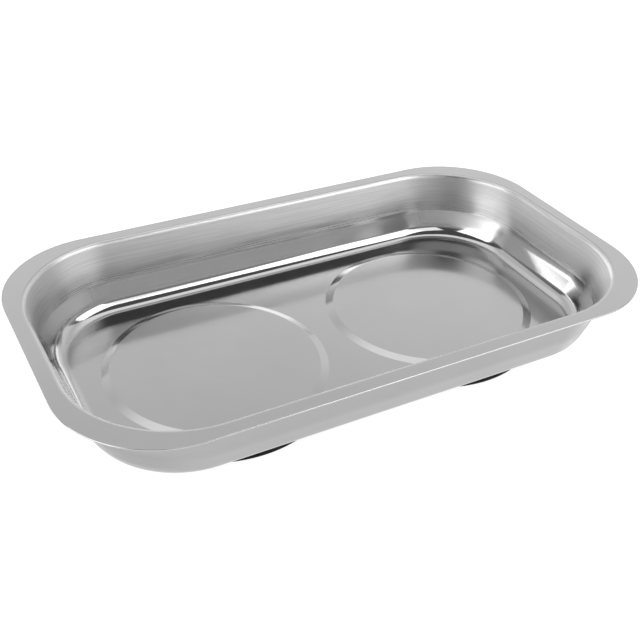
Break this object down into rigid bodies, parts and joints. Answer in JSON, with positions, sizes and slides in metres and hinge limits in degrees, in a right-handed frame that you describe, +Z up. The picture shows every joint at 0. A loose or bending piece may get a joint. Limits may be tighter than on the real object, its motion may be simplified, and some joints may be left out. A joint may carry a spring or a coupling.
{
  "type": "magnetic parts tray",
  "caption": "Rectangular steel parts tray with round corners, a flat rim and raised discs in its floor, standing on booted ring magnets that hold small steel parts in it.",
  "frame": {"origin": "on the surface the tray stands on, under the middle of the tray", "axes": "+X along the long side, +Y along the short side, +Z up out of the tray"},
  "size_m": [0.2414, 0.1396, 0.0381],
  "materials": {
    "stainless_sheet": "finely brushed, bright on its bends",
    "plated_steel": "zinc plated",
    "ferrite": "ground, dull",
    "zinc_plate": "zinc plated, pressed",
    "black_rubber": "moulded, matt"
  },
  "bodies": {
    "root": {"tray_pan": "stainless_sheet", "left_weld_stud": "plated_steel", "right_weld_stud": "plated_steel", "left_ring_magnet": "ferrite", "right_ring_magnet": "ferrite", "left_back_plate": "zinc_plate", "right_back_plate": "zinc_plate", "left_boot": "black_rubber", "right_boot": "black_rubber", "left_washer": "plated_steel", "right_washer": "plated_steel", "left_nut": "plated_steel", "right_nut": "plated_steel"}
  },
  "joints": []
}
